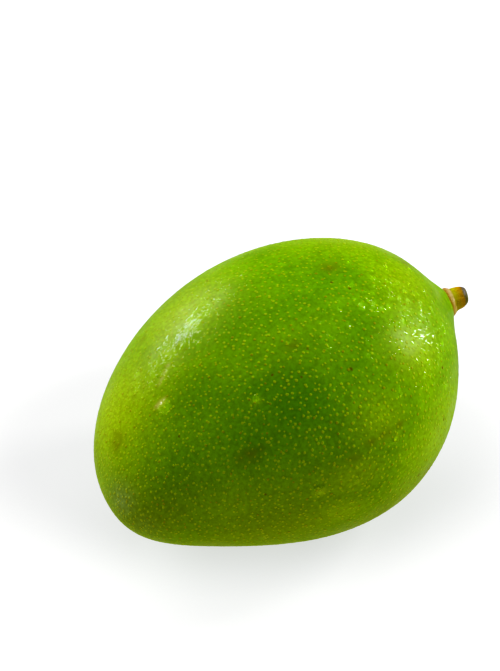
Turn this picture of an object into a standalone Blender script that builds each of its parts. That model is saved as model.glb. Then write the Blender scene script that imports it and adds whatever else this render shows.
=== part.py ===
# A whole mango lying on its flatter side, with the short cut stalk still on it.
# Metres, +Z up. The long axis lies along X with the stalk at +X, the belly with the beak faces -Y,
# and the origin is on the surface that the fruit rests on, under the middle of its box.

import math

import bmesh
import bpy
from mathutils import Matrix, Vector

# Overall size of the fruit, as half axes of the egg-like body
HALF_LENGTH = 0.0540
HALF_WIDTH = 0.0446
HALF_THICKNESS = 0.0357

# How the body differs from an ellipsoid, as shares of the half width and half thickness.
# A taper is fuller towards the stalk, a fullness acts at both ends, a bow shifts both ends to one
# side, and a twist shifts the two ends to opposite sides.
WIDTH_TAPER = 0.09
WIDTH_FULLNESS = -0.13
WIDTH_BOW = 0.09
WIDTH_TWIST = -0.03
THICKNESS_TAPER = 0.13
THICKNESS_FULLNESS = -0.03
THICKNESS_TWIST = 0.10
SECTION_POWER = 2.1

# Local rises and hollows: height, half spread as an angle, and the direction they lie in
NECK_HEIGHT = 0.00325
NECK_SPREAD = 0.17
NECK_DIRECTION = (1.0, -0.16, 0.08)
BEAK_HEIGHT = 0.0082
BEAK_SPREAD = 0.46
BEAK_ANGLE = 0.52
SINUS_DEPTH = 0.0008
SINUS_SPREAD = 0.43
SINUS_ANGLE = 1.12

# How the fruit lies: the stalk end is raised by this angle
REST_PITCH = 0.143
FLAT_SPOT_DEPTH = 0.00025

# The stalk leaves the fruit this far round from +X and this far above the level
STALK_TURN = -0.320
STALK_RISE = 0.253
STALK_SEAT_DEPTH = 0.0009
STALK_GAP = 0.0003

# Stalk outline from its cut end down to its base: (radius, height above the base)
STALK_OUTLINE = (
    (0.0000, 0.0053),
    (0.0020, 0.0053),
    (0.0024, 0.0050),
    (0.0027, 0.0044),
    (0.0030, 0.0034),
    (0.0032, 0.0023),
    (0.0034, 0.0015),
    (0.0037, 0.0012),
    (0.0040, 0.0005),
    (0.0041, 0.0000),
    (0.0000, 0.0000),
)

# Number of faces round and along
FRUIT_SEGMENTS = 64
FRUIT_RINGS = 48
STALK_SEGMENTS = 32
MERGE_DISTANCE = 0.00001


def clear_scene():
    for item in list(bpy.data.objects):
        bpy.data.objects.remove(item, do_unlink=True)


def make_material(name, colour, roughness):
    material = bpy.data.materials.new(name)
    material.use_nodes = True
    shader = material.node_tree.nodes["Principled BSDF"]
    shader.inputs["Base Color"].default_value = (*colour, 1.0)
    shader.inputs["Roughness"].default_value = roughness
    shader.inputs["Metallic"].default_value = 0.0
    return material


def add_object(name, mesh, material, collection, parent):
    mesh.materials.append(material)
    item = bpy.data.objects.new(name, mesh)
    collection.objects.link(item)
    item.parent = parent
    return item


def rise(direction, centre, spread):
    """A smooth hump that is 1 at the centre direction and fades with the angle away from it."""
    return math.exp(-(direction.angle(centre) / spread) ** 2)


def skin_point(direction):
    """The point of the fruit's skin for a direction from its middle, in the fruit's own frame."""
    x, y, z = direction
    around = math.atan2(z, y)
    power = SECTION_POWER
    squareness = (abs(math.cos(around)) ** power + abs(math.sin(around)) ** power) ** (-1 / power)
    width = 1 + WIDTH_TAPER * x + WIDTH_FULLNESS * x**2
    thickness = 1 + THICKNESS_TAPER * x + THICKNESS_FULLNESS * x**2
    side_shift = WIDTH_BOW * (x**2 - 1 / 3) + WIDTH_TWIST * x**3
    point = Vector((
        HALF_LENGTH * x,
        HALF_WIDTH * (y * width * squareness + side_shift),
        HALF_THICKNESS * (z * thickness * squareness + THICKNESS_TWIST * x**3),
    ))
    neck = Vector(NECK_DIRECTION).normalized()
    beak = Vector((-math.cos(BEAK_ANGLE), -math.sin(BEAK_ANGLE), 0))
    sinus = Vector((-math.cos(SINUS_ANGLE), -math.sin(SINUS_ANGLE), 0))
    point += NECK_HEIGHT * rise(direction, neck, NECK_SPREAD) * neck
    point += BEAK_HEIGHT * rise(direction, beak, BEAK_SPREAD) * beak
    point -= SINUS_DEPTH * rise(direction, sinus, SINUS_SPREAD) * sinus
    return point


def rest_rotation():
    return Matrix.Rotation(-REST_PITCH, 3, "Y")


def stalk_axis():
    """The stalk's direction in the fruit's own frame."""
    level = math.cos(STALK_RISE)
    lying = Vector((
        level * math.cos(STALK_TURN),
        level * math.sin(STALK_TURN),
        math.sin(STALK_RISE),
    ))
    return rest_rotation().inverted() @ lying


def stalk_seat():
    """The middle of the small flat that the stalk stands on."""
    return skin_point(Vector(NECK_DIRECTION).normalized()) - STALK_SEAT_DEPTH * stalk_axis()


def slice_off(shape, point, outward):
    """Cut away what lies beyond a plane and close the cut with one flat face."""
    everything = shape.verts[:] + shape.edges[:] + shape.faces[:]
    cut = bmesh.ops.bisect_plane(
        shape,
        geom=everything,
        dist=1e-7,
        plane_co=point,
        plane_no=outward,
        clear_outer=True,
    )
    rim = [item for item in cut["geom_cut"] if isinstance(item, bmesh.types.BMEdge)]
    bmesh.ops.holes_fill(shape, edges=rim, sides=0)


def make_fruit(collection, parent):
    """Flesh and skin, grown as one body: a sphere whose points are moved to the skin's formula."""
    shape = bmesh.new()
    bmesh.ops.create_uvsphere(
        shape,
        u_segments=FRUIT_SEGMENTS,
        v_segments=FRUIT_RINGS,
        radius=1.0,
    )
    for vertex in shape.verts:
        along_x = Vector((vertex.co.z, vertex.co.x, vertex.co.y))
        vertex.co = skin_point(along_x.normalized())
    slice_off(shape, stalk_seat(), stalk_axis())
    down = rest_rotation().inverted() @ Vector((0, 0, -1))
    lowest = max(vertex.co.dot(down) for vertex in shape.verts)
    slice_off(shape, down * (lowest - FLAT_SPOT_DEPTH), down)
    mesh = bpy.data.meshes.new("fruit")
    shape.to_mesh(mesh)
    shape.free()
    mesh.shade_smooth()
    mesh.set_sharp_from_angle(angle=math.radians(20))
    material = make_material("green_skin", (0.15, 0.38, 0.01), 0.35)
    return add_object("fruit", mesh, material, collection, parent)


def make_stalk(collection, parent):
    """The cut stalk with its flared foot: an outline turned about its own axis."""
    mesh = bpy.data.meshes.new("stalk")
    outline = [(radius, 0.0, height) for radius, height in STALK_OUTLINE]
    edges = [(i, i + 1) for i in range(len(outline) - 1)]
    mesh.from_pydata(outline, edges, [])
    material = make_material("brown_stalk", (0.38, 0.20, 0.03), 0.60)
    stalk = add_object("stalk", mesh, material, collection, parent)
    turn = stalk.modifiers.new("turn", "SCREW")
    turn.steps = STALK_SEGMENTS
    turn.render_steps = STALK_SEGMENTS
    turn.use_merge_vertices = True
    turn.merge_threshold = MERGE_DISTANCE
    turn.use_smooth_shade = True
    axis = stalk_axis()
    stalk.location = stalk_seat() + STALK_GAP * axis
    stalk.rotation_mode = "QUATERNION"
    stalk.rotation_quaternion = axis.to_track_quat("Z", "Y")
    return stalk


def box_of(items):
    """Lowest and highest corners of the finished shapes, in world space."""
    bpy.context.view_layer.update()
    graph = bpy.context.evaluated_depsgraph_get()
    points = []
    for item in items:
        shaped = item.evaluated_get(graph)
        mesh = shaped.to_mesh()
        points += [item.matrix_world @ vertex.co for vertex in mesh.vertices]
        shaped.to_mesh_clear()
    lowest = Vector(min(point[i] for point in points) for i in range(3))
    highest = Vector(max(point[i] for point in points) for i in range(3))
    return lowest, highest


def main():
    clear_scene()
    collection = bpy.data.collections.new("mango")
    bpy.context.scene.collection.children.link(collection)
    resting = bpy.data.objects.new("resting", None)
    collection.objects.link(resting)
    pieces = [
        make_fruit(collection, resting),
        make_stalk(collection, resting),
    ]
    resting.rotation_euler = rest_rotation().to_euler()
    lowest, highest = box_of(pieces)
    middle = (lowest + highest) / 2
    resting.location = (-middle.x, -middle.y, -lowest.z)
    bpy.context.view_layer.update()


main()
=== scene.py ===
import math

import bpy
import numpy as np
from mathutils import Matrix, Vector


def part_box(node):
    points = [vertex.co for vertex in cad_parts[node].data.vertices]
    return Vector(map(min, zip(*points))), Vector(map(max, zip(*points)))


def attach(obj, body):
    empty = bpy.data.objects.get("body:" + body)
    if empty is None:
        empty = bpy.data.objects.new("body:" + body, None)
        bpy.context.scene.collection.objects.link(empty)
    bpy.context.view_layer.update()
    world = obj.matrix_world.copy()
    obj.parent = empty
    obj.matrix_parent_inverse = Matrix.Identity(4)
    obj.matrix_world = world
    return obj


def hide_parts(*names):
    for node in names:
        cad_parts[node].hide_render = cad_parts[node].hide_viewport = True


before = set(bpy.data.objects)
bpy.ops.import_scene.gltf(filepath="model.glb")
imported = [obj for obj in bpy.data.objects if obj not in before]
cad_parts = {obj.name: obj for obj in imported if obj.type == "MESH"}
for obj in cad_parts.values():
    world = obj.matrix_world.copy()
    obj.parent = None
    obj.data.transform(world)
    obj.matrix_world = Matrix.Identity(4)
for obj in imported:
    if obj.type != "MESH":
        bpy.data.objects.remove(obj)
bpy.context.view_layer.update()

BODY = "root"


# The fruit's skin
# A green mango grown as one piece: a lopsided egg, with a low beak near its tip and a slight neck
# under the stalk. The skin is thin, waxy and wet, and sprinkled with fine yellow-green pores.

# Sizes are in metres and angles in radians, unless a comment says otherwise. The plain skin is an
# ellipsoid. Its tapers, fullnesses, bow and twists are shares of the half width or thickness.
MM_PER_METRE = 1000.0
HALF_LENGTH = 0.0540
HALF_WIDTH = 0.0446
HALF_THICKNESS = 0.0357
WIDTH_TAPER = 0.09
WIDTH_FULLNESS = -0.13
WIDTH_BOW = 0.09
WIDTH_TWIST = -0.03
THICKNESS_TAPER = 0.13
THICKNESS_FULLNESS = -0.03
THICKNESS_TWIST = 0.10
# The power of the cross-section: 2 is an ellipse, and more makes it squarer.
SECTION_POWER = 2.1
# The neck and the beak are humps, and the sinus is the hollow beside the beak. Each fades out over
# its spread. The beak and the sinus lie at these angles from the tip towards the belly side.
NECK_HEIGHT = 0.00325
NECK_SPREAD = 0.17
NECK_DIRECTION = (1.0, -0.16, 0.08)
BEAK_HEIGHT = 0.0082
BEAK_SPREAD = 0.46
BEAK_ANGLE = 0.52
SINUS_DEPTH = 0.0008
SINUS_SPREAD = 0.43
SINUS_ANGLE = 1.12
# The fruit lies with its stalk end raised by this much.
REST_PITCH = 0.143

# The stalk points this far round from +X and this far up, and its seat is this deep in the neck.
STALK_TURN = -0.320
STALK_RISE = 0.253
STALK_SEAT_DEPTH = 0.0009

# Points round and along the skin, and the same for the solid's grid.
SKIN_ROUND = 432
SKIN_ALONG = 228
CAD_ROUND = 64
CAD_ALONG = 48

# Swells of the skin: shortest and longest, how many, and height as a share of length.
WAVE_SEED = 11
WAVE_LENGTHS = (0.006, 0.038)
WAVE_COUNT = 56
WAVE_HEIGHT_SHARE = 0.0028
MEAN_RADIUS = 0.045

# The skin under the stalk's ring is level out to the ring's edge, and blends into the rest there.
RING_EDGE = 0.0040
RING_BLEND = 0.0005


def unit(vectors):
    """Each vector divided by its own length."""
    vectors = np.asarray(vectors, float)
    return vectors / np.linalg.norm(vectors, axis=-1, keepdims=True)


def rise(directions, centre, width):
    """A hump that is 1 at the centre and falls as exp(-(angle / width) squared)."""
    angle = np.arccos(np.clip(directions @ unit(centre), -1, 1))
    return np.exp(-((angle / width) ** 2))


def own_skin(directions):
    """The plain skin in the fruit's own frame, where x is -1 at the tip and 1 at the stalk end. It
    is an ellipsoid whose width and thickness change as 1 + taper x + fullness x squared. Its
    middle shifts by the bow times x squared and the twists times x cubed, and the neck and the
    beak are added and the sinus is taken away."""
    x, y, z = np.moveaxis(directions, -1, 0)
    around = np.arctan2(z, y)
    corner = np.abs(np.cos(around)) ** SECTION_POWER + np.abs(np.sin(around)) ** SECTION_POWER
    squareness = corner ** (-1 / SECTION_POWER)
    width = 1 + WIDTH_TAPER * x + WIDTH_FULLNESS * x**2
    thickness = 1 + THICKNESS_TAPER * x + THICKNESS_FULLNESS * x**2
    side_shift = WIDTH_BOW * (x**2 - 1 / 3) + WIDTH_TWIST * x**3
    points = np.stack([
        HALF_LENGTH * x,
        HALF_WIDTH * (y * width * squareness + side_shift),
        HALF_THICKNESS * (z * thickness * squareness + THICKNESS_TWIST * x**3),
    ], -1)
    neck = unit(NECK_DIRECTION)
    beak = np.array((-math.cos(BEAK_ANGLE), -math.sin(BEAK_ANGLE), 0.0))
    sinus = np.array((-math.cos(SINUS_ANGLE), -math.sin(SINUS_ANGLE), 0.0))
    points += NECK_HEIGHT * rise(directions, neck, NECK_SPREAD)[..., None] * neck
    points += BEAK_HEIGHT * rise(directions, beak, BEAK_SPREAD)[..., None] * beak
    points -= SINUS_DEPTH * rise(directions, sinus, SINUS_SPREAD)[..., None] * sinus
    return points


def globe(rounds, alongs, pole):
    """Unit directions of a grid with its two poles on one axis: the first pole, then ring after
    ring with its points at equal angles, then the other pole."""
    pole = unit(pole)
    side = unit(np.cross(pole, (0.0, 0.0, 1.0)))
    other = np.cross(pole, side)
    drop = np.linspace(0, math.pi, alongs + 1)[1:-1, None, None]
    turn = np.linspace(0, math.tau, rounds, endpoint=False)[None, :, None]
    rings = np.cos(drop) * pole + np.sin(drop) * (np.cos(turn) * side + np.sin(turn) * other)
    return np.concatenate([pole[None], rings.reshape(-1, 3), -pole[None]])


def globe_faces(rounds, alongs):
    """Faces of such a grid: a fan at each pole and bands of squares between the rings."""
    ring = np.arange(rounds)
    following = (ring + 1) % rounds
    first = 1 + ring
    last = 1 + (alongs - 2) * rounds
    fan = np.stack([np.zeros_like(ring), first, 1 + following], -1)
    end = np.full_like(ring, last + rounds)
    far_fan = np.stack([end, last + following, last + ring], -1)
    step = (np.arange(alongs - 2) * rounds)[:, None]
    corners = (first, first + rounds, 1 + following + rounds, 1 + following)
    squares = np.stack([step + corner for corner in corners], -1).reshape(-1, 4)
    return fan.tolist() + squares.tolist() + far_fan.tolist()


def laid_down(points):
    """The fruit's own frame turned so that the stalk end is raised by the rest pitch."""
    turn = np.array(Matrix.Rotation(-REST_PITCH, 3, "Y"))
    return points @ turn.T


# The fruit's middle is where the plain skin, on the solid's grid, fills the solid's box.
FRUIT_LOW, FRUIT_HIGH = (np.array(corner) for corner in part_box("fruit"))
plain = laid_down(own_skin(globe(CAD_ROUND, CAD_ALONG, (1.0, 0.0, 0.0))))
FRUIT_MIDDLE = np.array((
    FRUIT_LOW[0] - plain[:, 0].min(),
    (FRUIT_LOW[1] + FRUIT_HIGH[1] - plain[:, 1].min() - plain[:, 1].max()) / 2,
    FRUIT_HIGH[2] - plain[:, 2].max(),
))

STALK_AXIS = np.array((
    math.cos(STALK_RISE) * math.cos(STALK_TURN),
    math.cos(STALK_RISE) * math.sin(STALK_TURN),
    math.sin(STALK_RISE),
))
neck_top = laid_down(own_skin(unit(NECK_DIRECTION)[None]))[0] + FRUIT_MIDDLE
STALK_SEAT = neck_top - STALK_SEAT_DEPTH * STALK_AXIS

wave_draw = np.random.default_rng(WAVE_SEED)
wave_lengths = wave_draw.uniform(*WAVE_LENGTHS, WAVE_COUNT)
wave_directions = unit(wave_draw.normal(size=(WAVE_COUNT, 3)))
WAVES = wave_directions * (math.tau * MEAN_RADIUS / wave_lengths)[:, None]
WAVE_STARTS = wave_draw.uniform(0, math.tau, WAVE_COUNT)
WAVE_HEIGHTS = WAVE_HEIGHT_SHARE * wave_lengths


def unevenness(directions):
    """Slight swells of the skin: a seeded sum of cosines, each as high as its length allows,
    divided by the square root of their number."""
    return np.cos(directions @ WAVES.T + WAVE_STARTS) @ WAVE_HEIGHTS / math.sqrt(WAVE_COUNT)


def skin(directions):
    """The finished skin in the frame: the plain skin with its swells, cut level under the stalk's
    ring, and flat where the fruit rests."""
    points = own_skin(directions)
    points += unevenness(directions)[..., None] * unit(points)
    points = laid_down(points) + FRUIT_MIDDLE
    above = (points - STALK_SEAT) @ STALK_AXIS
    aside = np.linalg.norm(points - STALK_SEAT - above[..., None] * STALK_AXIS, axis=-1)
    under_ring = np.clip((RING_EDGE - aside) / RING_BLEND + 1, 0, 1)
    points -= (np.maximum(above, 0) * under_ring)[..., None] * STALK_AXIS
    points[..., 2] = np.maximum(points[..., 2], 0)
    return points


def place_on(along, around):
    """The direction from the fruit's middle that lies so many degrees from the stalk end, and so
    many round from +Y by way of the top."""
    along, around = np.radians(along), np.radians(around)
    return np.stack([
        np.cos(along),
        np.sin(along) * np.cos(around),
        np.sin(along) * np.sin(around),
    ], -1)


def add_piece(name, points, faces, material):
    """A smooth shaded mesh object at the origin, which rides on the fruit's one body."""
    mesh = bpy.data.meshes.new(name)
    mesh.from_pydata(points.tolist(), [], faces)
    mesh.shade_smooth()
    mesh.materials.append(material)
    piece = bpy.data.objects.new(name, mesh)
    bpy.context.scene.collection.objects.link(piece)
    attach(piece, BODY)
    return piece


def store(piece, name, values):
    """One number for each point of the mesh, for the material to read."""
    attribute = piece.data.attributes.new(name, "FLOAT", "POINT")
    attribute.data.foreach_set("value", np.asarray(values, np.float32))


def new_material(name):
    """A material with its tree and its shader."""
    material = bpy.data.materials.new(name)
    material.use_nodes = True
    return material, material.node_tree, material.node_tree.nodes["Principled BSDF"]


def add_node(tree, kind, inputs, **settings):
    """A node with its settings made and each named input linked, or set to a value."""
    node = tree.nodes.new(kind)
    for name, value in settings.items():
        setattr(node, name, value)
    for name, value in inputs.items():
        if isinstance(value, bpy.types.NodeSocket):
            tree.links.new(value, node.inputs[name])
        else:
            node.inputs[name].default_value = value
    return node


def arithmetic(tree, operation, first, second, third=0.0):
    """One step of arithmetic on numbers."""
    inputs = {0: first, 1: second, 2: third}
    return add_node(tree, "ShaderNodeMath", inputs, operation=operation).outputs[0]


def blend(tree, share, first, second, how="MIX"):
    """A colour between two others. The node's sockets 6 and 7 and its output 2 are its colours."""
    inputs = {0: share, 6: first, 7: second}
    node = add_node(tree, "ShaderNodeMix", inputs, data_type="RGBA", blend_type=how)
    return node.outputs[2]


def spread(tree, value, low, high, to_low=0.0, to_high=1.0):
    """A value taken smoothly from one range to another, and held at its ends."""
    inputs = {"Value": value, 1: low, 2: high, 3: to_low, 4: to_high}
    node = add_node(tree, "ShaderNodeMapRange", inputs, interpolation_type="SMOOTHSTEP")
    return node.outputs[0]


def in_millimetres(tree):
    """The object's own coordinates, measured in millimetres."""
    source = add_node(tree, "ShaderNodeTexCoord", {})
    inputs = {"Vector": source.outputs["Object"], "Scale": (MM_PER_METRE,) * 3}
    return add_node(tree, "ShaderNodeMapping", inputs).outputs[0]


def cloud(tree, where, size, detail=2.0, roughness=0.5, output="Fac"):
    """Noise whose lumps are about so many millimetres across, as numbers or as colours."""
    inputs = {"Vector": where, "Scale": 1 / size, "Detail": detail, "Roughness": roughness}
    return add_node(tree, "ShaderNodeTexNoise", inputs).outputs[output]


def stored(tree, name):
    """The number that the mesh stores for each point under this name."""
    node = add_node(tree, "ShaderNodeAttribute", {}, attribute_name=name)
    return node.outputs["Fac"]


DEEP_GREEN = (0.068, 0.285, 0.002, 1.0)
BRIGHT_GREEN = (0.155, 0.430, 0.003, 1.0)
PALE_GREEN = (0.400, 0.640, 0.040, 1.0)
OLIVE_GREEN = (0.130, 0.255, 0.003, 1.0)
PORE_YELLOW = (0.580, 0.700, 0.060, 1.0)
PORE_ORANGE = (0.420, 0.240, 0.015, 1.0)
BLOOM_AND_REFLECTION_GREY = (0.190, 0.300, 0.220, 1.0)
SCAR_AND_GLINT_CREAM = (0.620, 0.600, 0.300, 1.0)
BRUISE_BROWN = (0.120, 0.085, 0.010, 1.0)
SPECK_BROWN = (0.090, 0.035, 0.005, 1.0)

# Places are (degrees from the stalk end, degrees round from +Y by way of the top).
# Soft areas of skin: place, spread in degrees, strength. The pale area at 122, 82 is a painted sheen
# below the wet highlight. The small pale ones are painted light, where the larger drops gather
# light on the skin below them.
PALE_AND_PAINTED_LIGHT_AREAS = (
    (48, 68, 22, 0.5),
    (46, 112, 16, 0.6),
    (61, 142, 13, 0.5),
    (66, 178, 18, 0.4),
    (110, 66, 17, 0.65),
    (147, 74, 22, 0.95),
    (122, 82, 8, 0.5),
    (84, 154, 12, 0.45),
    (95, 171, 10, 0.45),
    (100, 190, 8, 0.4),
    (134, 160, 12, 0.2),
    (134.0, 105.5, 2.0, 0.40),
    (105.7, 174.0, 2.0, 0.80),
    (95.8, 175.0, 1.4, 0.85),
    (111.4, 126.3, 1.6, 0.35),
    (81.0, 164.0, 1.6, 0.60),
)
DEEP_AREAS = (
    (108, 138, 17, 0.65),
    (90, 120, 10, 0.5),
    (127, 108, 11, 1.0),
    (104, 93, 12, 1.0),
    (88, 99, 9, 0.7),
    (74, 100, 9, 0.4),
    (74, 124, 9, 1.0),
)
# The olive areas darken the lower belly side: partly the skin's own olive tone, partly painted shade
# on the side turned down to the floor.
OLIVE_AND_PAINTED_SHADE_AREAS = (
    (120, 190, 28, 1.0),
    (150, 168, 22, 0.8),
    (86, 208, 22, 0.7),
)
# The grey areas near the tip are a grey bloom with a painted reflection of the floor at the lower
# rim.
BLOOM_AND_REFLECTION_AREAS = (
    (160, 150, 9, 0.8),
    (152, 170, 10, 0.5),
)
# Scars: the first four are a pale scratch. The last three are a scar with a painted glint of the
# left strip light on the drop at 133, 104.
SCARS_AND_PAINTED_GLINT = (
    (124.0, 87.3, 0.8, 0.50),
    (126.0, 88.8, 0.9, 0.60),
    (128.0, 90.3, 0.9, 0.65),
    (129.5, 91.5, 0.8, 0.50),
    (131.8, 100.7, 1.0, 0.80),
    (133.2, 101.0, 1.4, 0.95),
    (134.6, 100.8, 1.1, 0.85),
)
BRUISES = (
    (153, 94, 3.5, 0.55),
    (68, 91, 3.4, 0.50),
    (122, 56, 2.0, 0.40),
    (84, 160, 2.2, 0.45),
    (89, 160, 1.8, 0.45),
    (79, 160, 1.5, 0.50),
    (95, 163, 2.0, 0.35),
    (95, 114, 2.0, 0.35),
    (34, 96, 2.4, 0.50),
    (69, 199, 1.8, 0.70),
    (120, 146, 3.0, 0.50),
    (117, 145, 2.0, 0.40),
)
# Dried specks: place, radius in millimetres.
SPECKS = (
    (96, 61, 0.50),
    (69, 105, 0.55),
    (72, 99, 0.45),
    (98, 126, 0.40),
    (85, 132, 0.50),
    (54, 156, 0.50),
    (134, 123, 0.40),
    (74, 194, 0.60),
    (67, 201, 0.60),
    (119, 167, 0.40),
    (104, 120, 0.45),
    (92, 118, 0.40),
    (60, 178, 0.50),
    (64, 60, 0.50),
    (110, 30, 0.60),
    (75, 350, 0.50),
    (130, 260, 0.60),
    (95, 300, 0.50),
    (50, 240, 0.50),
    (140, 20, 0.45),
)

# Patterns: their sizes in millimetres, and the ranges that their values are taken from and to.
# Noise stays mostly within NOISE_RANGE.
NOISE_RANGE = (0.3, 0.7)
MOTTLE_SIZE = 19.0
MOTTLE_RANGE = (0.36, 0.64)
FLECK_SIZE = 1.1
FLECK_SHADES = (0.78, 1.24)
# A pore's colour fades in over its rim, up to a share of its strength. A few pores have browned:
# those whose seeded draw is high.
PORE_RIM = (0.10, 0.85)
PORE_COLOUR_SHARE = 0.49
BROWNED_DRAWS = (0.84, 0.96)
BRUISE_RAG_SIZE = 2.2
BRUISE_RAG_RANGE = (0.30, 0.62)
BRUISE_SHARES = (0.25, 1.30)
# A speck's outline wanders by half of this to each side, in lumps of this size, in millimetres. It
# fades out between two shares of its radius.
SPECK_WANDER = 0.8
SPECK_LUMP_SIZE = 0.625
SPECK_FADE = (1.3, 0.4)
SPECK_STRENGTH = 0.85
DULL_SIZE = 7.0
SKIN_ROUGHNESS = (0.36, 0.50)
SKIN_SPECULAR = 0.25
SHEEN_WEIGHT = 0.12
SHEEN_ROUGHNESS = 0.35
SHEEN_GREEN = (0.80, 1.00, 0.50, 1.0)
GRAIN_SIZE = 0.55
GRAIN_DEPTH = 0.00001


def soft_areas(directions, areas):
    """The strongest of some round areas that fade out at their rims."""
    total = np.zeros(len(directions))
    for along, around, size, strength in areas:
        hump = strength * rise(directions, place_on(along, around), math.radians(size))
        total = np.maximum(total, hump)
    return total


def skin_material():
    """Green wax skin: mottled green, with pores, bruises and dried specks, and a wet gloss. It also
    has painted light under the larger drops, a painted sheen and glint, painted shade low on the
    belly side and a painted reflection of the floor near the tip.
    """
    material, tree, shader = new_material("green_mango_skin")
    here = in_millimetres(tree)

    mottle = cloud(tree, here, MOTTLE_SIZE, detail=4.0, roughness=0.55)
    colour = blend(tree, spread(tree, mottle, *MOTTLE_RANGE), DEEP_GREEN, BRIGHT_GREEN)
    colour = blend(tree, stored(tree, "deep"), colour, DEEP_GREEN)
    # Olive areas: the skin's olive tone with painted shade on the lower side.
    colour = blend(tree, stored(tree, "olive_and_painted_shade"), colour, OLIVE_GREEN)
    # Pale areas: the skin's paler tone, with painted light under the drops and a painted sheen.
    colour = blend(tree, stored(tree, "pale_and_painted_light"), colour, PALE_GREEN)
    # Grey areas: bloom with a painted reflection of the floor near the tip.
    colour = blend(tree, stored(tree, "bloom_and_reflection"), colour, BLOOM_AND_REFLECTION_GREY)

    flecks = cloud(tree, here, FLECK_SIZE, detail=3.0, roughness=0.7)
    shade = spread(tree, flecks, *NOISE_RANGE, *FLECK_SHADES)
    grey = add_node(tree, "ShaderNodeCombineColor", {0: shade, 1: shade, 2: shade})
    colour = blend(tree, 1.0, colour, grey.outputs[0], how="MULTIPLY")

    browned = spread(tree, stored(tree, "hue"), *BROWNED_DRAWS)
    pore_colour = blend(tree, browned, PORE_YELLOW, PORE_ORANGE)
    pore = spread(tree, stored(tree, "pore"), *PORE_RIM, 0.0, PORE_COLOUR_SHARE)
    colour = blend(tree, pore, colour, pore_colour)

    ragged = cloud(tree, here, BRUISE_RAG_SIZE, detail=3.0, roughness=0.65)
    ragged = spread(tree, ragged, *BRUISE_RAG_RANGE, *BRUISE_SHARES)
    bruise = arithmetic(tree, "MULTIPLY", stored(tree, "bruise"), ragged)
    colour = blend(tree, bruise, colour, BRUISE_BROWN)
    # Scars, with a painted glint on the large drop near the tip.
    colour = blend(tree, stored(tree, "scar_and_glint"), colour, SCAR_AND_GLINT_CREAM)

    wander = cloud(tree, here, SPECK_LUMP_SIZE, output="Color")
    inputs = {0: wander, 1: (SPECK_WANDER,) * 3}
    wander = add_node(tree, "ShaderNodeVectorMath", inputs, operation="MULTIPLY").outputs[0]
    near = add_node(tree, "ShaderNodeVectorMath", {0: here, 1: wander}, operation="ADD").outputs[0]
    fade_out, fade_in = SPECK_FADE
    speck = 0.0
    for along, around, radius in SPECKS:
        centre = skin(place_on(along, around)[None])[0] * MM_PER_METRE + SPECK_WANDER / 2
        inputs = {0: near, 1: tuple(centre)}
        gap = add_node(tree, "ShaderNodeVectorMath", inputs, operation="DISTANCE").outputs["Value"]
        dark = spread(tree, gap, radius * fade_out, radius * fade_in)
        speck = arithmetic(tree, "MAXIMUM", speck, dark)
    speck = arithmetic(tree, "MULTIPLY", speck, SPECK_STRENGTH)
    colour = blend(tree, speck, colour, SPECK_BROWN)
    tree.links.new(colour, shader.inputs["Base Color"])

    dull = cloud(tree, here, DULL_SIZE, detail=3.0)
    roughness = spread(tree, dull, *NOISE_RANGE, *SKIN_ROUGHNESS)
    tree.links.new(roughness, shader.inputs["Roughness"])
    shader.inputs["Specular IOR Level"].default_value = SKIN_SPECULAR
    shader.inputs["Sheen Weight"].default_value = SHEEN_WEIGHT
    shader.inputs["Sheen Roughness"].default_value = SHEEN_ROUGHNESS
    shader.inputs["Sheen Tint"].default_value = SHEEN_GREEN

    inputs = {"Height": cloud(tree, here, GRAIN_SIZE), "Strength": 1.0, "Distance": GRAIN_DEPTH}
    bump = add_node(tree, "ShaderNodeBump", inputs)
    tree.links.new(bump.outputs[0], shader.inputs["Normal"])
    return material


def store_areas(piece, directions):
    """How far each point lies in the soft areas, the bruises and the scars. Some of the soft areas
    and scars also paint light, shade, a floor reflection and a glint.
    """
    store(piece, "pale_and_painted_light", soft_areas(directions, PALE_AND_PAINTED_LIGHT_AREAS))
    store(piece, "deep", soft_areas(directions, DEEP_AREAS))
    store(piece, "olive_and_painted_shade", soft_areas(directions, OLIVE_AND_PAINTED_SHADE_AREAS))
    store(piece, "bloom_and_reflection", soft_areas(directions, BLOOM_AND_REFLECTION_AREAS))
    store(piece, "bruise", soft_areas(directions, BRUISES))
    store(piece, "scar_and_glint", soft_areas(directions, SCARS_AND_PAINTED_GLINT))


green_skin = skin_material()
skin_directions = globe(SKIN_ROUND, SKIN_ALONG, NECK_DIRECTION)
fruit_skin = add_piece(
    "fruit_skin",
    skin(skin_directions),
    globe_faces(SKIN_ROUND, SKIN_ALONG),
    green_skin,
)
store_areas(fruit_skin, skin_directions)
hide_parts("fruit")


# The pores
# Corky pores all over the skin, each a slightly raised yellow-green dot, with some browned ones
# among them. They grow smaller and closer together towards the tip.

PORE_SEED = 17
PORE_COUNT = 8200
PORE_CROWDING = 0.70
PORE_JITTER = 0.28
# Widths in millimetres, and shares of the width: how narrow the other way, and how high.
PORE_WIDTHS = (0.65, 1.20)
PORE_ROUNDNESS = (0.85, 1.0)
PORE_HEIGHT_SHARE = 0.038
# Pores shrink to this share of their width towards the tip, from one place on the axis and over
# one stretch of it, where the tip is 1.
TIP_PORE_SHARE = 0.85
TIP_START = 0.15
TIP_STRETCH = 0.60
PORE_SINK = 0.000008
PORE_RINGS = 2
PORE_ROUND = 6
# How strongly the pore's colour shows at its peak, on its middle ring and at its rim.
PORE_SHARES = (1.0, 0.85, 0.0)
GOLDEN_ANGLE = math.pi * (3 - math.sqrt(5))
STALK_CLEARANCE = 0.10
FLAT_CLEARANCE = 0.0006

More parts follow.
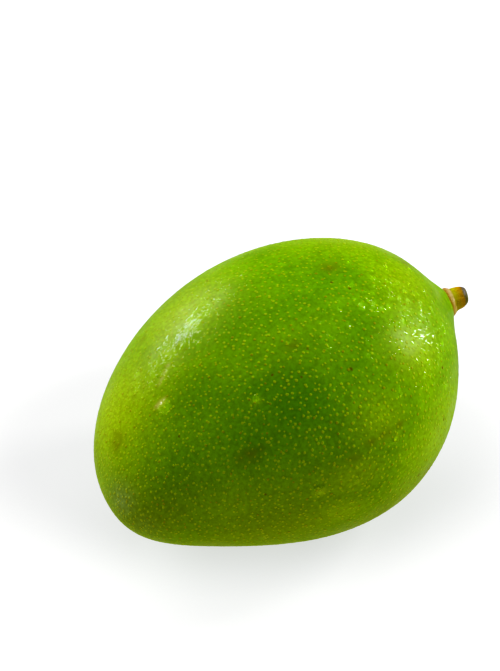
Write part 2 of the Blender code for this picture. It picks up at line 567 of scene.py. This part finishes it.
# Domes serve for pores and water alike. The slope of the skin is taken over this step, and a
# dome's top rounds off by this power. Wobbly rims and ripples are for water alone.
SLOPE_STEP = 0.002
DOME_POWER = 0.75
WOBBLE_COUNTS = np.array((2, 3, 5, 8))
RIPPLE_SEED = 23
RIPPLE_COUNT = 24
RIPPLE_LENGTHS = (0.0007, 0.0026)
RIPPLE_STRETCH = (0.35, 1.0, 1.0)
RIPPLE_STEEPNESS = 0.10

ripple_draw = np.random.default_rng(RIPPLE_SEED)
ripple_lengths = ripple_draw.uniform(*RIPPLE_LENGTHS, RIPPLE_COUNT)
ripple_directions = unit(ripple_draw.normal(size=(RIPPLE_COUNT, 3)) * RIPPLE_STRETCH)
RIPPLES = ripple_directions * (math.tau * MEAN_RADIUS / ripple_lengths)[:, None]
RIPPLE_STARTS = ripple_draw.uniform(0, math.tau, RIPPLE_COUNT)
RIPPLE_HEIGHTS = RIPPLE_STEEPNESS * math.sqrt(2 / RIPPLE_COUNT) * ripple_lengths / math.tau


def domes(places, lengths, widths, turns, heights, rings, rounds, sink,
          flatness=2.0, wobble=0.0, rippled=0.0):
    """Low closed domes on the skin, as points and their directions. A dome's rim is an ellipse,
    made uneven by a few cosines round it, and laid on the skin by the slopes of the skin's
    formula. Its top rises as (1 - way out to the power of flatness) to the dome power, with
    seeded ripples where it is rippled. Its rim is sunk a little into the skin, and its underside
    is one point. All sizes are in metres."""
    count = len(places)
    first = unit(np.cross(places, (0.0, 0.0, 1.0)))
    second = np.cross(first, places)
    here = skin(places)
    slope_first = (skin(unit(places + SLOPE_STEP * first)) - here) / SLOPE_STEP
    slope_second = (skin(unit(places + SLOPE_STEP * second)) - here) / SLOPE_STEP
    normal = unit(np.cross(slope_first, slope_second))
    normal *= np.sign(((here - FRUIT_MIDDLE) * normal).sum(-1, keepdims=True))
    tipwards = unit(np.array((-1.0, 0.0, 0.0)) + normal * normal[:, :1])
    across = np.cross(normal, tipwards)
    cosine, sine = np.cos(turns)[:, None], np.sin(turns)[:, None]
    long_way = cosine * tipwards + sine * across
    wide_way = cosine * across - sine * tipwards
    out = np.linspace(0, 1, rings + 1)[1:]
    turn = np.linspace(0, math.tau, rounds, endpoint=False)
    starts = np.random.default_rng(count).uniform(0, math.tau, (count, 1, len(WOBBLE_COUNTS)))
    edge = 1 + wobble * np.cos(WOBBLE_COUNTS * turn[None, :, None] + starts).mean(-1)
    reach = out[None, :, None] * edge[:, None]
    u = reach * np.cos(turn) * lengths[:, None, None] / 2
    v = reach * np.sin(turn) * widths[:, None, None] / 2
    flat = u[..., None] * long_way[:, None, None] + v[..., None] * wide_way[:, None, None]
    slopes = np.stack([slope_first, slope_second], -1)
    steps = np.einsum("dij,drsj->drsi", np.linalg.pinv(slopes), flat)
    ringed = places[:, None, None] + steps[..., :1] * first[:, None, None]
    ringed = unit(ringed + steps[..., 1:] * second[:, None, None])
    directions = np.concatenate([places[:, None], ringed.reshape(count, -1, 3), places[:, None]], 1)
    way_out = np.concatenate([[0.0], np.repeat(out, rounds), [1.0]])
    lift = (1 - way_out**flatness) ** DOME_POWER
    height = heights[:, None] * lift - sink * (way_out == 1)
    if rippled:
        height += rippled * (np.cos(directions @ RIPPLES.T + RIPPLE_STARTS) @ RIPPLE_HEIGHTS) * lift
    points = skin(directions) + height[..., None] * normal[:, None]
    return points, directions


def dome_faces(count, rings, rounds):
    """Faces of many domes: a fan at the peak, bands down to the rim, and a fan underneath."""
    pattern = globe_faces(rounds, rings + 1)
    triangles = np.array([face for face in pattern if len(face) == 3])
    squares = np.array([face for face in pattern if len(face) == 4])
    start = (np.arange(count) * (rings * rounds + 2))[:, None, None]
    return (triangles + start).reshape(-1, 3).tolist() + (squares + start).reshape(-1, 4).tolist()


def pore_places(generator):
    """Directions along a spiral from the stalk end to the tip. The cosine of the way from the
    stalk end is 1 - 2 (step / steps) to the power of the crowding, each step goes round by the
    golden angle, and each place is shifted by a seeded share of the mean spacing."""
    steps = np.arange(PORE_COUNT)
    cosine = 1 - 2 * ((steps + 0.5) / PORE_COUNT) ** PORE_CROWDING
    sine = np.sqrt(1 - cosine**2)
    turn = GOLDEN_ANGLE * steps
    places = np.stack([cosine, sine * np.cos(turn), sine * np.sin(turn)], -1)
    spacing = math.sqrt(4 * math.pi / PORE_COUNT)
    places = unit(places + PORE_JITTER * spacing * generator.normal(size=places.shape))
    clear_of_stalk = places @ unit(NECK_DIRECTION) < math.cos(STALK_CLEARANCE)
    clear_of_flat = skin(places)[:, 2] > FLAT_CLEARANCE
    return places[clear_of_stalk & clear_of_flat]


pore_draw = np.random.default_rng(PORE_SEED)
pores = pore_places(pore_draw)
tip_nearness = np.clip((-pores[:, 0] - TIP_START) / TIP_STRETCH, 0, 1)
pore_widths = pore_draw.uniform(*PORE_WIDTHS, len(pores)) / MM_PER_METRE
pore_widths *= 1 + (TIP_PORE_SHARE - 1) * tip_nearness
pore_points, pore_directions = domes(
    pores,
    pore_widths,
    pore_widths * pore_draw.uniform(*PORE_ROUNDNESS, len(pores)),
    pore_draw.uniform(0, math.tau, len(pores)),
    pore_widths * PORE_HEIGHT_SHARE,
    PORE_RINGS,
    PORE_ROUND,
    PORE_SINK,
)
skin_pores = add_piece(
    "skin_pores",
    pore_points.reshape(-1, 3),
    dome_faces(len(pores), PORE_RINGS, PORE_ROUND),
    green_skin,
)
store_areas(skin_pores, pore_directions.reshape(-1, 3))
pore_rings = np.repeat(PORE_SHARES, (1, PORE_ROUND, PORE_ROUND + 1))
store(skin_pores, "pore", np.tile(pore_rings, len(pores)))
store(skin_pores, "hue", np.repeat(pore_draw.uniform(0, 1, len(pores)), len(pore_rings)))


# The stalk
# The woody stub left when the fruit was cut from the tree. A tan ring of bark flares at its foot.
# Above the ring the stub is fuller on its upper side and narrows to a slanted cut, dried dark.

STALK_ROUND = 128
STALK_STEPS = 8
STALK_LEAN = math.radians(-36.0)
# Outline from the buried foot to the middle of the cut, in millimetres: height above the seat,
# radius on the full side, radius on the lean side.
STALK_OUTLINE = (
    (-1.30, 2.70, 3.20),
    (-0.60, 3.35, 3.95),
    (-0.05, 3.95, 4.45),
    (0.50, 4.08, 4.40),
    (1.05, 3.86, 4.05),
    (1.45, 3.60, 3.74),
    (1.70, 3.42, 3.52),
    (1.95, 3.40, 3.38),
    (2.55, 3.40, 3.16),
    (3.30, 3.36, 3.04),
    (4.10, 3.24, 2.86),
    (4.85, 3.00, 2.54),
    (5.42, 2.68, 2.20),
    (5.80, 2.26, 1.82),
    (5.96, 1.75, 1.38),
    (5.92, 1.15, 0.92),
    (5.78, 0.55, 0.45),
    (5.72, 0.00, 0.00),
)
# The ring sits this many millimetres below the seat's middle, and above the ring's top the stub
# sags by a share of its height. The slant grows up to the height of the cut.
STALK_DROP = 0.45
STALK_SAG = 0.09
STALK_RING_TOP = 1.70
CUT_SLANT = 0.11
CUT_HEIGHT = 5.0
# Ridges: how many round the stalk, depth as a share of the radius, where they start. The ring
# takes them more weakly.
RIDGES = ((5, 0.010, 0.4), (9, 0.008, 2.1), (14, 0.006, 4.0), (23, 0.004, 1.2))
RING_RIDGE_SHARE = 0.4
# Low lobes round the ring, in millimetres: how far they stand out, the height that they are
# highest at, and their spread up and down.
LOBE_COUNT = 3
LOBE_START = 1.0
LOBE_DEPTH = 0.07
LOBE_MIDDLE = 0.4
LOBE_SPREAD = 0.5

# Bark: sizes of its blotches and fibres and the wander of its colours' edges, in millimetres.
BLOTCH_SIZE = 0.9
FIBRE_SIZE = 0.35
BARK_WANDER = 0.8
BLOTCH_RANGE = (0.54, 0.72)
BLOTCH_STRENGTH = 0.75
BLOTCH_BROWN = (0.40, 0.30, 0.20, 1.0)
BARK_SHADES = (0.82, 1.15)
BARK_ROUGHNESS = (0.42, 0.62)
FIBRE_SHARE = 0.4
BARK_DEPTH = 0.00025
# Colours from the seat, at 0, to the cut, at 1, which is this many millimetres above it. The light
# side is the full one, and the range says where round the stalk the two sides' colours meet.
BARK_COLOUR_HEIGHT = 6.4
LIGHT_SIDE_RANGE = (0.25, 0.80)
LIGHT_SIDE = (
    (0.000, (0.52, 0.20, 0.10, 1.0)),
    (0.060, (0.62, 0.29, 0.17, 1.0)),
    (0.120, (0.66, 0.40, 0.24, 1.0)),
    (0.210, (0.62, 0.44, 0.24, 1.0)),
    (0.265, (0.42, 0.34, 0.06, 1.0)),
    (0.330, (0.50, 0.49, 0.012, 1.0)),
    (0.460, (0.54, 0.38, 0.006, 1.0)),
    (0.580, (0.52, 0.24, 0.004, 1.0)),
    (0.680, (0.34, 0.13, 0.004, 1.0)),
    (0.730, (0.10, 0.06, 0.12, 1.0)),
    # A painted highlight: the lilac band on the dried cut.
    (0.790, (0.14, 0.10, 0.27, 1.0)),
    (0.860, (0.045, 0.032, 0.080, 1.0)),
    (1.000, (0.040, 0.030, 0.060, 1.0)),
)
DARK_SIDE = (
    (0.000, (0.50, 0.18, 0.08, 1.0)),
    (0.060, (0.58, 0.24, 0.12, 1.0)),
    (0.150, (0.64, 0.40, 0.22, 1.0)),
    (0.220, (0.54, 0.36, 0.14, 1.0)),
    (0.270, (0.32, 0.24, 0.010, 1.0)),
    (0.400, (0.42, 0.26, 0.003, 1.0)),
    (0.560, (0.46, 0.19, 0.003, 1.0)),
    (0.700, (0.36, 0.13, 0.003, 1.0)),
    (0.780, (0.045, 0.032, 0.080, 1.0)),
    (1.000, (0.040, 0.030, 0.060, 1.0)),
)


def through(points, steps):
    """A smooth curve through the points, by cubic pieces whose slopes come from the neighbours."""
    points = np.asarray(points, float)
    before = np.concatenate([points[:1], points[:-1]])[:-1, None]
    after = np.concatenate([points[1:], points[-1:]])[1:, None]
    start, end = points[:-1, None], points[1:, None]
    t = np.linspace(0, 1, steps, endpoint=False)[None, :, None]
    curve = 0.5 * (
        2 * start
        + (end - before) * t
        + (2 * before - 5 * start + 4 * end - after) * t**2
        + (3 * start - before - 3 * end + after) * t**3
    )
    return np.concatenate([curve.reshape(-1, points.shape[1]), points[-1:]])


def stalk_surface():
    """Rings round the stalk's axis: each radius lies between the outline's full and lean side by
    the cosine of the turn, with shallow ridges, and with low lobes on the ring. The heights slant
    more towards the cut, the whole is dropped below the seat's middle, and the stub sags."""
    outline = through(STALK_OUTLINE, STALK_STEPS)
    height, full, lean = (part[:, None] for part in outline.T)
    turn = np.linspace(0, math.tau, STALK_ROUND, endpoint=False)[None]
    share = (1 + np.cos(turn - STALK_LEAN)) / 2
    radius = share * full + (1 - share) * lean
    woody = np.clip(height / STALK_RING_TOP, 0.0, 1.0)
    ridge = sum(depth * np.cos(count * turn + start) for count, depth, start in RIDGES)
    radius = radius * (1 + ridge * (RING_RIDGE_SHARE + (1 - RING_RIDGE_SHARE) * woody))
    lobes = LOBE_DEPTH * np.cos(LOBE_COUNT * turn + LOBE_START)
    radius = radius + lobes * np.exp(-((height - LOBE_MIDDLE) / LOBE_SPREAD) ** 2)
    slant = CUT_SLANT * np.clip(height / CUT_HEIGHT, 0, 1) ** 2
    lifted = height + slant * radius * np.cos(turn - STALK_LEAN)
    up = unit(np.array((0.0, 0.0, 1.0)) - STALK_AXIS[2] * STALK_AXIS)
    side = np.cross(STALK_AXIS, up)
    outward = np.cos(turn)[..., None] * up + np.sin(turn)[..., None] * side
    sag = (STALK_DROP + STALK_SAG * np.maximum(height - STALK_RING_TOP, 0))[..., None] * up
    points = lifted[..., None] * STALK_AXIS + radius[..., None] * outward - sag
    points = STALK_SEAT + points / MM_PER_METRE
    heights = np.broadcast_to(height, radius.shape)
    shares = np.broadcast_to(share, radius.shape)
    return points, heights, shares


def closed_tube(points):
    """A grid of rings as one closed surface: its first and last rings each meet in one point."""
    first, last = points[0].mean(0), points[-1].mean(0)
    return np.concatenate([first[None], points.reshape(-1, 3), last[None]])


def ring_values(values):
    """The values of such a surface: those of its rings, with one more for each end point."""
    return np.concatenate([values[0, :1], values.ravel(), values[-1, :1]])


def colour_band(tree, place, stops):
    """A colour that runs through the stops, each of which is a place from 0 to 1 and a colour."""
    node = add_node(tree, "ShaderNodeValToRGB", {0: place})
    band = node.color_ramp
    band.elements[0].position, band.elements[0].color = stops[0]
    band.elements[1].position, band.elements[1].color = stops[-1]
    for position, colour in stops[1:-1]:
        band.elements.new(position).color = colour
    return node.outputs[0]


def stalk_material():
    """Young bark: tan ring with a reddish rim, yellow-green above, brown below, dark dried cut with
    a painted lilac highlight on its light side.
    """
    material, tree, shader = new_material("dried_mango_stalk")
    here = in_millimetres(tree)
    blotchy = cloud(tree, here, BLOTCH_SIZE, detail=4.0, roughness=0.65)
    fibrous = cloud(tree, here, FIBRE_SIZE)

    height = arithmetic(tree, "MULTIPLY_ADD", blotchy, BARK_WANDER, stored(tree, "height"))
    height = arithmetic(tree, "SUBTRACT", height, BARK_WANDER / 2)
    place = arithmetic(tree, "DIVIDE", height, BARK_COLOUR_HEIGHT)
    light = spread(tree, stored(tree, "upper"), *LIGHT_SIDE_RANGE)
    dark_colour = colour_band(tree, place, DARK_SIDE)
    colour = blend(tree, light, dark_colour, colour_band(tree, place, LIGHT_SIDE))
    blotches = spread(tree, blotchy, *BLOTCH_RANGE, 0.0, BLOTCH_STRENGTH)
    colour = blend(tree, blotches, colour, BLOTCH_BROWN, how="MULTIPLY")
    shade = spread(tree, fibrous, *NOISE_RANGE, *BARK_SHADES)
    grey = add_node(tree, "ShaderNodeCombineColor", {0: shade, 1: shade, 2: shade})
    colour = blend(tree, 1.0, colour, grey.outputs[0], how="MULTIPLY")
    tree.links.new(colour, shader.inputs["Base Color"])

    roughness = spread(tree, blotchy, *NOISE_RANGE, *BARK_ROUGHNESS)
    tree.links.new(roughness, shader.inputs["Roughness"])
    grain = arithmetic(tree, "MULTIPLY_ADD", fibrous, FIBRE_SHARE, blotchy)
    bump = add_node(tree, "ShaderNodeBump", {"Height": grain, "Distance": BARK_DEPTH})
    tree.links.new(bump.outputs[0], shader.inputs["Normal"])
    return material


stalk_points, stalk_heights, stalk_shares = stalk_surface()
stalk = add_piece(
    "stalk_stub",
    closed_tube(stalk_points),
    globe_faces(STALK_ROUND, len(stalk_points) + 1),
    stalk_material(),
)
store(stalk, "height", ring_values(stalk_heights))
store(stalk, "upper", ring_values(stalk_shares))
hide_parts("stalk")


# Water on the skin
# Drops and mist left from rinsing. Each is a low clear dome that wets the waxy skin, and the ones
# on the steeper side have run a little downhill.

WATER_SINK = 0.00003
WATER_IOR = 1.33
# How much of a lamp's light passes straight through the water to the skin.
WATER_CLARITY = 0.88
# Least and most haze, sizes of the patterns of haze and tint in millimetres, and the two tints.
DROP_HAZE = (0.0, 0.03)
FILM_HAZE = (0.10, 0.22)
HAZE_SIZE = 1.4
TINT_SIZE = 3.0
FAINT_GREEN = (0.90, 0.96, 0.88, 1.0)
WHITE = (1.0, 1.0, 1.0, 1.0)
# Each drop and film: degrees from the stalk end, degrees round, length and width in millimetres,
# turn of the length from the way towards the tip in degrees, height in millimetres.
DROPS = (
    (133, 104, 4.6, 3.8, 20, 0.95),
    (111, 125, 2.4, 2.0, 0, 0.62),
    (106, 172, 3.2, 2.8, 40, 0.60),
    (96, 174, 3.6, 1.7, 60, 0.45),
    (82, 165, 3.6, 1.8, 0, 0.50),
    (75, 149, 3.4, 2.0, 60, 0.26),
    (60, 128, 2.9, 2.4, 0, 0.60),
    (66, 116, 4.4, 2.2, 70, 0.52),
    (70, 114, 3.6, 2.0, 70, 0.50),
    (132, 73, 2.4, 1.6, 0, 0.42),
    (66, 109, 1.8, 1.3, 0, 0.24),
    (64, 111, 1.7, 1.2, 0, 0.22),
    (56, 101, 1.3, 1.0, 0, 0.20),
    (51, 112, 2.4, 1.6, 60, 0.24),
    (51, 117, 2.0, 1.6, 0, 0.22),
    (53, 122, 2.4, 1.5, 60, 0.20),
    (48, 126, 2.6, 1.4, 50, 0.20),
    (41, 123, 2.2, 1.5, 70, 0.22),
    (64, 119, 3.0, 1.8, 20, 0.26),
    (59, 125, 2.6, 1.2, 70, 0.20),
    (56, 135, 2.4, 1.9, 30, 0.18),
    (51, 142, 2.4, 1.5, 30, 0.14),
    (53, 131, 2.2, 1.7, 0, 0.18),
    (64, 144, 2.2, 1.5, 20, 0.14),
    (60, 148, 2.6, 1.6, 30, 0.16),
    (56, 152, 2.6, 1.3, 110, 0.15),
    (78, 118, 2.6, 1.4, 60, 0.28),
    (77, 111, 2.4, 1.1, 80, 0.22),
    (75, 108, 2.0, 0.9, 80, 0.20),
    (87, 122, 1.5, 1.2, 0, 0.24),
    (78, 131, 2.0, 1.5, 0, 0.24),
    (74, 143, 2.4, 1.5, 50, 0.20),
    (50, 149, 2.0, 1.2, 60, 0.14),
    (43, 147, 2.0, 1.2, 60, 0.16),
    (93, 67, 1.6, 0.9, 20, 0.19),
    (89, 73, 1.6, 0.9, 20, 0.19),
    (88, 63, 1.4, 1.1, 0, 0.20),
    (99, 69, 2.2, 1.0, 80, 0.20),
    (107, 77, 1.8, 0.8, 60, 0.16),
)
FILMS = (
    (113, 81, 8.5, 7.0, 15, 0.08),
    (118, 81, 4.0, 2.4, 20, 0.05),
    (56, 138, 4.0, 2.4, 30, 0.04),
)
# Mist and beads: degrees from the stalk end, degrees round, spread in degrees along and round, how
# many, shortest and longest in millimetres, turn of the length and its scatter in degrees.
MIST = (
    (62, 122, 9, 11, 110, 0.3, 0.9, 0, 180),
    (60, 120, 9, 12, 70, 1.0, 2.6, 70, 20),
    (55, 140, 7, 10, 80, 0.3, 0.9, 0, 180),
    (54, 140, 7, 10, 50, 1.0, 2.4, 65, 20),
    (78, 118, 8, 8, 50, 0.4, 1.4, 70, 30),
    (84, 140, 8, 8, 30, 0.4, 1.3, 60, 40),
    (85, 117, 4, 5, 25, 0.5, 1.3, 60, 40),
    (66, 162, 8, 8, 35, 0.4, 1.6, 50, 40),
    (94, 72, 6, 6, 45, 0.4, 1.5, 60, 40),
    (112, 80, 11, 8, 150, 0.3, 1.1, 0, 180),
    (113, 80, 4, 4, 70, 0.8, 2.4, 20, 60),
    (121, 82, 4, 3, 45, 0.7, 2.0, 20, 60),
    (129, 84, 3, 3, 30, 0.6, 1.8, 20, 60),
    (103, 78, 3, 3, 20, 0.6, 1.6, 20, 60),
    (130, 86, 7, 8, 60, 0.3, 1.1, 0, 180),
    (100, 30, 30, 24, 60, 0.3, 1.2, 0, 180),
    (80, 330, 30, 30, 60, 0.3, 1.2, 0, 180),
    (90, 230, 30, 30, 60, 0.3, 1.2, 0, 180),
)
# Width as a share of length, and height as a share of width. No mist lies lower than this.
MIST_SEED = 5
MIST_WIDTH_SHARES = (0.40, 0.85)
MIST_HEIGHT_SHARES = (0.07, 0.17)
LOWEST_MIST = 0.002
# Points out from the peak and round, and the flatness and the wobble of the rim of each kind.
DROP_RINGS = 9
DROP_ROUND = 28
DROP_WOBBLE = 0.22
FILM_RINGS = 44
FILM_ROUND = 132
FILM_FLATNESS = 7.0
FILM_WOBBLE = 0.55
MIST_RINGS = 4
MIST_ROUND = 12


def water_material(name, haze_range):
    """Clear water whose haze and tint vary a little, so that it reads on the skin. To a shadow
    ray it is see-through by its clarity."""
    material, tree, shader = new_material(name)
    here = in_millimetres(tree)
    haze = spread(tree, cloud(tree, here, HAZE_SIZE), *NOISE_RANGE, *haze_range)
    tree.links.new(haze, shader.inputs["Roughness"])
    tint = blend(tree, cloud(tree, here, TINT_SIZE), FAINT_GREEN, WHITE)
    tree.links.new(tint, shader.inputs["Base Color"])
    shader.inputs["IOR"].default_value = WATER_IOR
    shader.inputs["Transmission Weight"].default_value = 1.0
    shaded = add_node(tree, "ShaderNodeLightPath", {}).outputs["Is Shadow Ray"]
    solid = arithmetic(tree, "MULTIPLY_ADD", shaded, -WATER_CLARITY, 1.0)
    tree.links.new(solid, shader.inputs["Alpha"])
    return material


def add_water(name, facts, material, rings, rounds, **form):
    """Drops, films or mist by their facts: two angles, length, width, turn and height."""
    along, around, lengths, widths, turns, heights = np.asarray(facts, float).T
    points, _ = domes(
        place_on(along, around),
        lengths / MM_PER_METRE,
        widths / MM_PER_METRE,
        np.radians(turns),
        heights / MM_PER_METRE,
        rings,
        rounds,
        WATER_SINK,
        **form,
    )
    faces = dome_faces(len(facts), rings, rounds)
    return add_piece(name, points.reshape(-1, 3), faces, material)


def mist_facts(generator):
    """Seeded droplets scattered about the middle of each patch of mist."""
    patches = np.repeat(np.array(MIST, float), [patch[4] for patch in MIST], axis=0)
    count = len(patches)
    middles, spreads = patches[:, :2], patches[:, 2:4]
    shortest, longest, mean_turns, turn_scatters = patches[:, 5:].T
    along, around = (middles + spreads * generator.normal(size=(count, 2))).T
    lengths = generator.uniform(shortest, longest)
    widths = lengths * generator.uniform(*MIST_WIDTH_SHARES, count)
    turns = mean_turns + turn_scatters * generator.uniform(-1, 1, count)
    heights = widths * generator.uniform(*MIST_HEIGHT_SHARES, count)
    clear_of_floor = skin(place_on(along, around))[:, 2] > LOWEST_MIST
    return np.stack([along, around, lengths, widths, turns, heights], -1)[clear_of_floor]


water = water_material("clear_water", DROP_HAZE)
thin_water = water_material("thin_water", FILM_HAZE)
mist = mist_facts(np.random.default_rng(MIST_SEED))
add_water("water_drops", DROPS, water, DROP_RINGS, DROP_ROUND, wobble=DROP_WOBBLE)
add_water("water_films", FILMS, thin_water, FILM_RINGS, FILM_ROUND,
          flatness=FILM_FLATNESS, wobble=FILM_WOBBLE, rippled=1.0)
add_water("water_mist", mist, water, MIST_RINGS, MIST_ROUND)


# Floor, lights and camera
# A plain white surface that the fruit rests on, with a painted shadow under the fruit, two low
# studio lights at its left and right, a wide soft one above, and a camera that looks down on it
# from the belly side.

FLOOR_HALF = 2.0
FLOOR_DROP = 0.0001
FLOOR_GREY = (0.25, 0.25, 0.25, 1.0)
FLOOR_ROUGHNESS = 0.7
# The room's light on the fruit, and how bright the backdrop looks to the camera.
ROOM_LIGHT = 0.05
BACKDROP_WHITE = 0.97
# The surface is pale grey, and it glows like a lit table, which makes it white. It glows less
# under the fruit than away from it, which is a painted shadow. The painted shadow is an ellipse, and
# this ratio is its size away from the camera to its size across the picture. Only a share of the
# glow falls on the fruit.
TABLE_GLOW = (0.656, 0.88)
PAINTED_SHADOW_MIDDLE = (0.0024, 0.0251)
PAINTED_SHADOW_REACH = (0.064, 0.107)
PAINTED_SHADOW_RATIO = 0.644
TABLE_GLOW_CAST = 0.60
CAMERA_TURN = math.radians(33.17)
CAMERA_TILT = math.radians(35.0)
CAMERA_DISTANCE = 0.450
# The fruit's middle lies this far to the right of the picture's middle, and this far below it.
FRUIT_RIGHT = 0.00778
FRUIT_DOWN = 0.01613
# Focal length in millimetres.
CAMERA_LENS = 86.91
# Weak blue is lost in the picture, as in the photograph. These are the points of its curve
# between the two ends, and the curve is the third of the picture's curves.
BLUE_CURVE = ((0.04, 0.0), (0.12, 0.02), (0.3, 0.17), (0.5, 0.46), (0.7, 0.7))
BLUE = 2
# Lights: name, turn from +X and rise above the level in degrees, distance, width and height of
# the lamp in metres, power in watts.
LIGHTS = (
    ("left_strip", 104.0, 27.0, 0.80, 0.52, 0.34, 4.4),
    ("right_lamp", -12.0, 30.0, 0.80, 0.16, 0.36, 4.4),
    ("top_softbox", 57.0, 80.0, 0.90, 0.80, 0.80, 3.4),
)

floor_mesh = bpy.data.meshes.new("floor")
floor_corners = [
    (x * FLOOR_HALF, y * FLOOR_HALF, -FLOOR_DROP)
    for x, y in ((-1, -1), (1, -1), (1, 1), (-1, 1))
]
floor_mesh.from_pydata(floor_corners, [], [(0, 1, 2, 3)])
floor_material, floor_tree, floor_shader = new_material("white_surface")
floor_shader.inputs["Base Color"].default_value = FLOOR_GREY
floor_shader.inputs["Roughness"].default_value = FLOOR_ROUGHNESS
source = add_node(floor_tree, "ShaderNodeTexCoord", {}).outputs["Object"]
from_middle = add_node(floor_tree, "ShaderNodeVectorMath", {
    0: source,
    1: (*PAINTED_SHADOW_MIDDLE, 0.0),
}, operation="SUBTRACT").outputs[0]
turned = add_node(floor_tree, "ShaderNodeMapping", {
    "Vector": from_middle,
    "Rotation": (0.0, 0.0, CAMERA_TURN),
}).outputs[0]
stretched = add_node(floor_tree, "ShaderNodeMapping", {
    "Vector": turned,
    "Scale": (1.0, 1 / PAINTED_SHADOW_RATIO, 0.0),
}).outputs[0]
reach = add_node(floor_tree, "ShaderNodeVectorMath", {0: stretched}, operation="LENGTH")
# Painted shadow: the glow is dimmer in an ellipse round the fruit.
glow = spread(floor_tree, reach.outputs["Value"], *PAINTED_SHADOW_REACH, *TABLE_GLOW)
seen = add_node(floor_tree, "ShaderNodeLightPath", {}).outputs["Is Camera Ray"]
share = spread(floor_tree, seen, 0.0, 1.0, TABLE_GLOW_CAST, 1.0)
glow = arithmetic(floor_tree, "MULTIPLY", glow, share)
floor_tree.links.new(glow, floor_shader.inputs["Emission Strength"])
floor_shader.inputs["Emission Color"].default_value = WHITE
floor_mesh.materials.append(floor_material)
floor = bpy.data.objects.new("floor", floor_mesh)
bpy.context.scene.collection.objects.link(floor)

room = bpy.data.worlds.new("room")
room.use_nodes = True
backdrop = room.node_tree.nodes["Background"]
backdrop.inputs["Color"].default_value = WHITE
seen = add_node(room.node_tree, "ShaderNodeLightPath", {}).outputs["Is Camera Ray"]
strength = spread(room.node_tree, seen, 0.0, 1.0, ROOM_LIGHT, BACKDROP_WHITE)
room.node_tree.links.new(strength, backdrop.inputs["Strength"])
bpy.context.scene.world = room

for name, turn, lift, distance, lamp_width, lamp_height, watts in LIGHTS:
    turn, lift = math.radians(turn), math.radians(lift)
    away = Vector((math.cos(lift) * math.cos(turn), math.cos(lift) * math.sin(turn), math.sin(lift)))
    lamp = bpy.data.lights.new(name, "AREA")
    lamp.shape = "RECTANGLE"
    lamp.size = lamp_width
    lamp.size_y = lamp_height
    lamp.energy = watts
    light = bpy.data.objects.new(name, lamp)
    light.location = Vector(FRUIT_MIDDLE) + away * distance
    light.rotation_euler = away.to_track_quat("Z", "Y").to_euler()
    light.visible_camera = False
    bpy.context.scene.collection.objects.link(light)

camera_data = bpy.data.cameras.new("camera")
camera_data.lens = CAMERA_LENS
camera = bpy.data.objects.new("camera", camera_data)
bpy.context.scene.collection.objects.link(camera)
rightwards = Vector((math.cos(CAMERA_TURN), -math.sin(CAMERA_TURN), 0.0))
sight = Vector((
    math.sin(CAMERA_TURN) * math.cos(CAMERA_TILT),
    math.cos(CAMERA_TURN) * math.cos(CAMERA_TILT),
    -math.sin(CAMERA_TILT),
))
upwards = rightwards.cross(sight)
aim = Vector(FRUIT_MIDDLE) - FRUIT_RIGHT * rightwards + FRUIT_DOWN * upwards
camera.location = aim - CAMERA_DISTANCE * sight
camera.rotation_euler = sight.to_track_quat("-Z", "Y").to_euler()
bpy.context.scene.camera = camera

picture = bpy.context.scene.view_settings
picture.view_transform = "Standard"
picture.use_curve_mapping = True
blue_curve = picture.curve_mapping.curves[BLUE]
for place in BLUE_CURVE:
    blue_curve.points.new(*place)
picture.curve_mapping.update()
